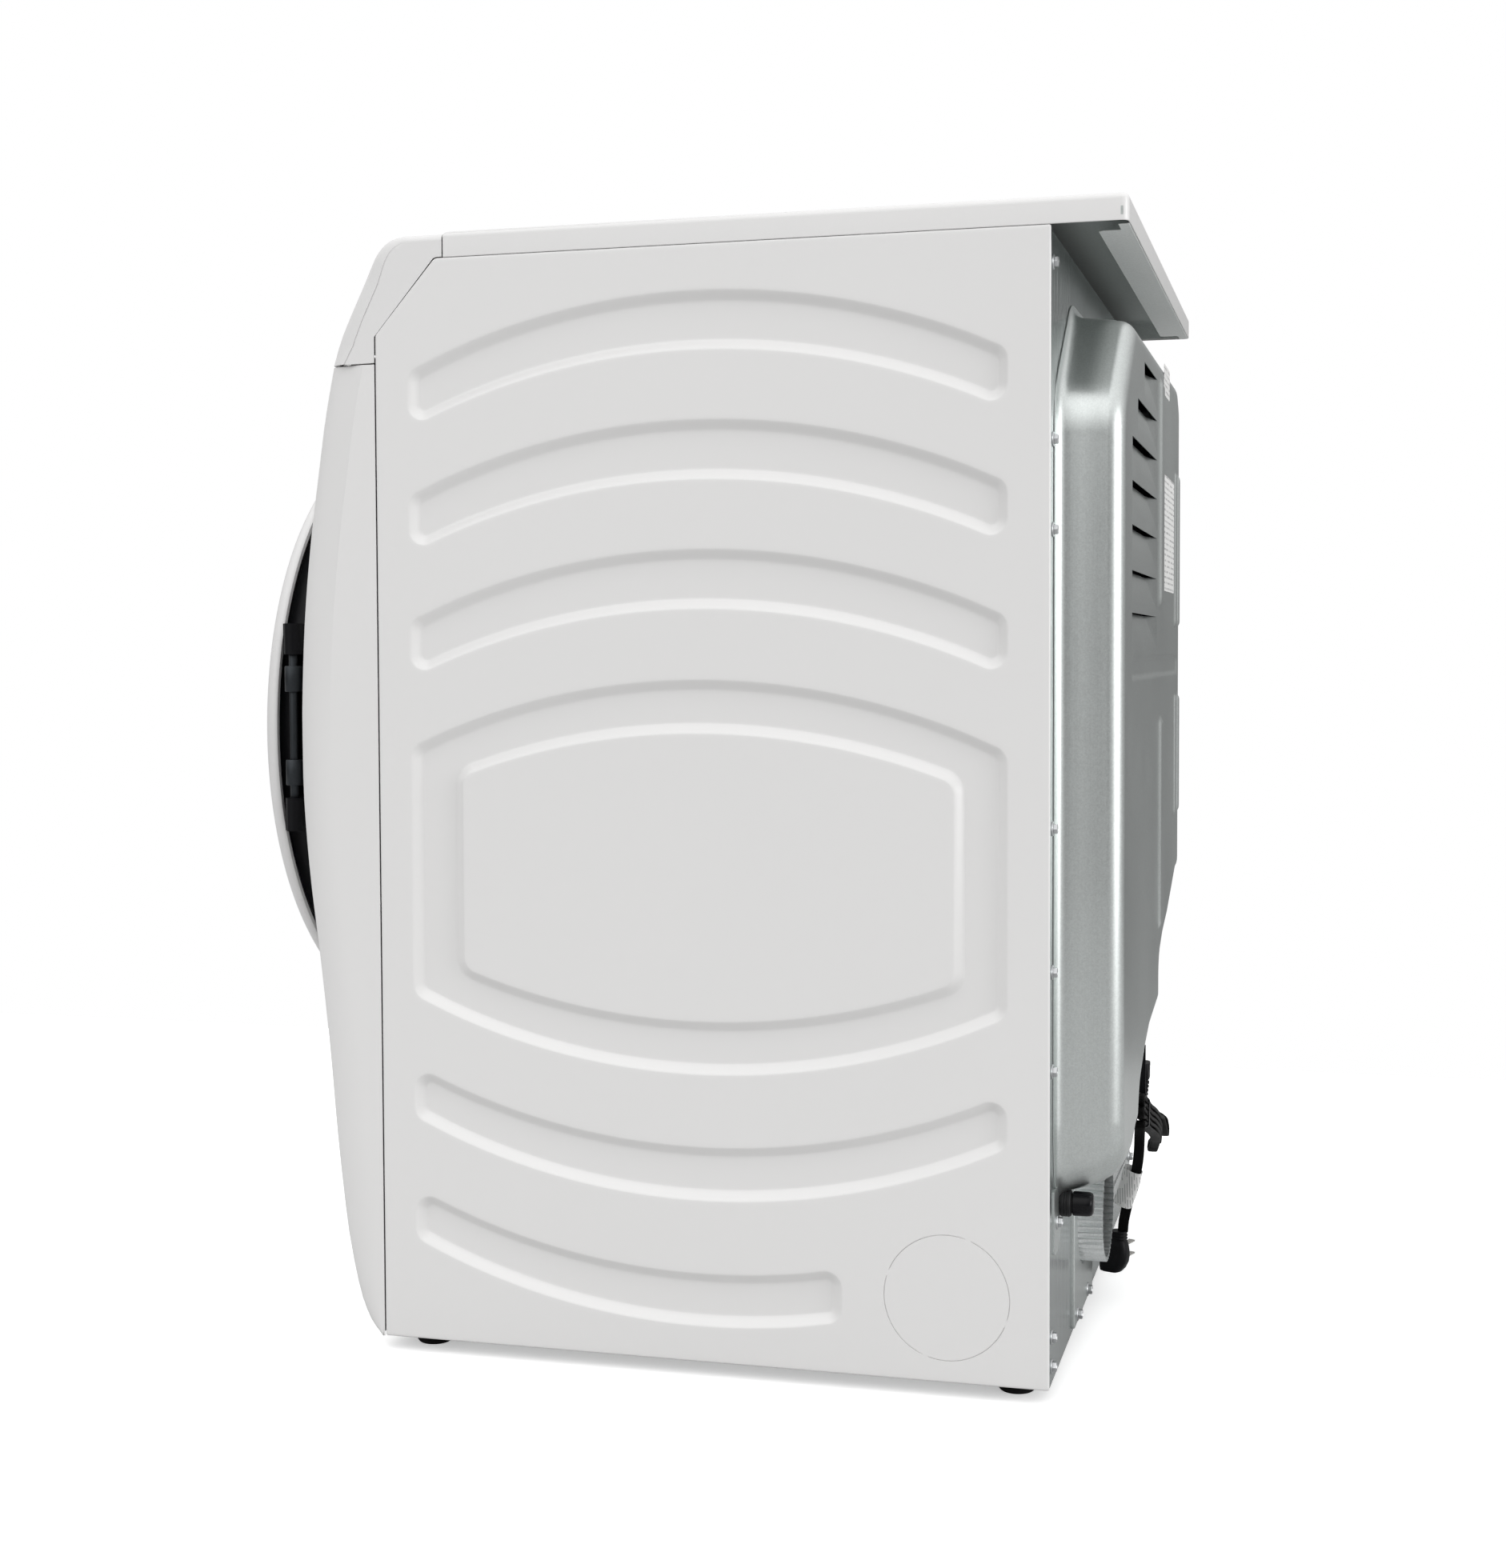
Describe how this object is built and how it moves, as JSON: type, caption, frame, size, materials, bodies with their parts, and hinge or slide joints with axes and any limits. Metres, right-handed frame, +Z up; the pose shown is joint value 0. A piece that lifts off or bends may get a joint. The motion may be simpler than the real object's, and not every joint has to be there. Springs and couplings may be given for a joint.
{
  "type": "clothes dryer",
  "caption": "Front-loading gas clothes dryer with pressed side panels, a bulging rear air cover, a round swing door, and a rear exhaust stub and cord.",
  "frame": {"origin": "middle of the footprint, on the floor", "axes": "+Z up, +Y to the rear of the dryer, +X to the right seen from the front; the door faces -Y"},
  "size_m": [0.711, 0.822, 1.01],
  "materials": {
    "white_steel": "smooth satin white enamel over pressed steel",
    "white_plastic": "satin white moulded plastic",
    "galvanised": "galvanised sheet with fine spangle",
    "zinc_steel": "zinc-plated steel",
    "black_gloss": "glossy black fascia",
    "black_plastic": "moulded black plastic",
    "rubber": "black rubber",
    "cord": "black PVC cord, three ribs",
    "felt": "pressed wool felt",
    "grey_plastic": "grey moulded plastic",
    "brass": "cast brass valve body",
    "iron_pipe": "black painted steel",
    "lamp": "frosted lamp cover",
    "hinge_grey": "grey coated steel",
    "tag": "white vinyl flag label, blank",
    "lens": "dark tinted door lens",
    "glass": "pressed clear glass bowl",
    "drum_steel": "coated drum steel",
    "baffle": "light grey plastic",
    "knob": "satin metal-look knob"
  },
  "bodies": {
    "cabinet": {"base_pan": "galvanised", "side_panel_right": "white_steel", "side_panel_left": "white_steel", "rear_panel": "galvanised", "rear_cover": "galvanised", "access_panel": "galvanised", "rear_screws": "zinc_steel", "top_cover": "white_steel", "front_panel": "white_steel", "front_bulkhead": "galvanised", "control_panel": "white_plastic", "control_fascia": "black_gloss", "door_seal": "rubber", "drum_felts": "felt", "roller_shafts": "zinc_steel", "lint_duct": "grey_plastic", "blower_housing": "grey_plastic", "exhaust_duct": "galvanised", "burner_tube": "galvanised", "gas_valve": "brass", "gas_pipe": "iron_pipe", "gas_plate": "galvanised", "gas_cap": "black_plastic", "motor": "iron_pipe", "door_switch": "grey_plastic", "drum_lamp": "lamp", "foot_nuts": "zinc_steel", "hinge_bracket": "hinge_grey", "strain_relief": "black_plastic", "power_cord": "cord", "cord_hank": "cord", "cord_tie": "black_plastic", "cord_tag": "tag", "plug": "black_plastic", "drive_belt": "rubber"},
    "door": {"door_ring": "white_plastic", "door_lens": "lens", "door_frame": "black_plastic", "door_bowl": "glass", "hinge_pin": "zinc_steel", "door_latch": "zinc_steel"},
    "drum": {"drum": "drum_steel", "drum_baffles": "baffle"},
    "roller_left": {"roller_left": "black_plastic"},
    "roller_right": {"roller_right": "black_plastic"},
    "rotor": {"motor_shaft": "zinc_steel", "blower_wheel": "grey_plastic"},
    "idler_arm": {"idler_arm": "zinc_steel"},
    "idler_wheel": {"idler_wheel": "black_plastic"},
    "lint_filter": {"lint_filter": "grey_plastic"},
    "cycle_knob": {"cycle_knob": "knob"},
    "power_button": {"power_button": "grey_plastic"},
    "start_button": {"start_button": "grey_plastic"},
    "option_button_1": {"option_button_1": "grey_plastic"},
    "option_button_2": {"option_button_2": "grey_plastic"},
    "option_button_3": {"option_button_3": "grey_plastic"},
    "foot_front_left": {"foot_front_left": "rubber"},
    "foot_front_right": {"foot_front_right": "rubber"},
    "foot_rear_left": {"foot_rear_left": "rubber"},
    "foot_rear_right": {"foot_rear_right": "rubber"}
  },
  "joints": [
    {"name": "door_swing", "type": "hinge", "parent": "cabinet", "child": "door", "pos_m": [0.3, -0.3704, 0.5626], "axis": [0, 0, 1], "range_deg": [0, 120]},
    {"name": "drum_spin", "type": "hinge", "parent": "cabinet", "child": "drum", "pos_m": [0, 0.03, 0.5626], "axis": [0, 1, 0], "continuous": true},
    {"name": "roller_left_spin", "type": "hinge", "parent": "cabinet", "child": "roller_left", "pos_m": [-0.16915, 0.3076, 0.24447], "axis": [0, 1, 0], "continuous": true},
    {"name": "roller_right_spin", "type": "hinge", "parent": "cabinet", "child": "roller_right", "pos_m": [0.16915, 0.3076, 0.24447], "axis": [0, 1, 0], "continuous": true},
    {"name": "motor_spin", "type": "hinge", "parent": "cabinet", "child": "rotor", "pos_m": [0.02, 0, 0.12], "axis": [0, 1, 0], "continuous": true},
    {"name": "idler_swing", "type": "hinge", "parent": "cabinet", "child": "idler_arm", "pos_m": [0.015, 0.1591, 0.062], "axis": [0, -1, 0], "range_deg": [0, 12], "stiffness_Nm_per_rad": 4, "springref_deg": -14.32},
    {"name": "idler_spin", "type": "hinge", "parent": "idler_arm", "child": "idler_wheel", "pos_m": [-0.05567, 0.1386, 0.141], "axis": [0, 1, 0], "continuous": true},
    {"name": "lint_filter_pull", "type": "slide", "parent": "cabinet", "child": "lint_filter", "axis": [0, 0, 1], "range_m": [0, 0.2]},
    {"name": "cycle_knob_turn", "type": "hinge", "parent": "cabinet", "child": "cycle_knob", "pos_m": [0, -0.2841, 0.944], "axis": [0, -0.9011, 0.4337], "continuous": true},
    {"name": "power_button_press", "type": "slide", "parent": "cabinet", "child": "power_button", "axis": [0, 0.9011, -0.4337], "range_m": [0, 0.0015], "stiffness_N_per_m": 600},
    {"name": "start_button_press", "type": "slide", "parent": "cabinet", "child": "start_button", "axis": [0, 0.9011, -0.4337], "range_m": [0, 0.0015], "stiffness_N_per_m": 600},
    {"name": "option_button_1_press", "type": "slide", "parent": "cabinet", "child": "option_button_1", "axis": [0, 0.9011, -0.4337], "range_m": [0, 0.0015], "stiffness_N_per_m": 600},
    {"name": "option_button_2_press", "type": "slide", "parent": "cabinet", "child": "option_button_2", "axis": [0, 0.9011, -0.4337], "range_m": [0, 0.0015], "stiffness_N_per_m": 600},
    {"name": "option_button_3_press", "type": "slide", "parent": "cabinet", "child": "option_button_3", "axis": [0, 0.9011, -0.4337], "range_m": [0, 0.0015], "stiffness_N_per_m": 600},
    {"name": "foot_front_left_turn", "type": "hinge", "parent": "cabinet", "child": "foot_front_left", "pos_m": [-0.315, -0.2264, 0.02], "axis": [0, 0, 1], "continuous": true},
    {"name": "foot_front_right_turn", "type": "hinge", "parent": "cabinet", "child": "foot_front_right", "pos_m": [0.315, -0.2264, 0.02], "axis": [0, 0, 1], "continuous": true},
    {"name": "foot_rear_left_turn", "type": "hinge", "parent": "cabinet", "child": "foot_rear_left", "pos_m": [-0.315, 0.3146, 0.02], "axis": [0, 0, 1], "continuous": true},
    {"name": "foot_rear_right_turn", "type": "hinge", "parent": "cabinet", "child": "foot_rear_right", "pos_m": [0.315, 0.3146, 0.02], "axis": [0, 0, 1], "continuous": true}
  ],
  "couplings": [
    {"joint": "roller_left_spin", "follows": "drum_spin", "ratio": -9.2857},
    {"joint": "roller_right_spin", "follows": "drum_spin", "ratio": -9.2857},
    {"joint": "motor_spin", "follows": "drum_spin", "ratio": 27.083},
    {"joint": "idler_spin", "follows": "drum_spin", "ratio": -16.25}
  ]
}
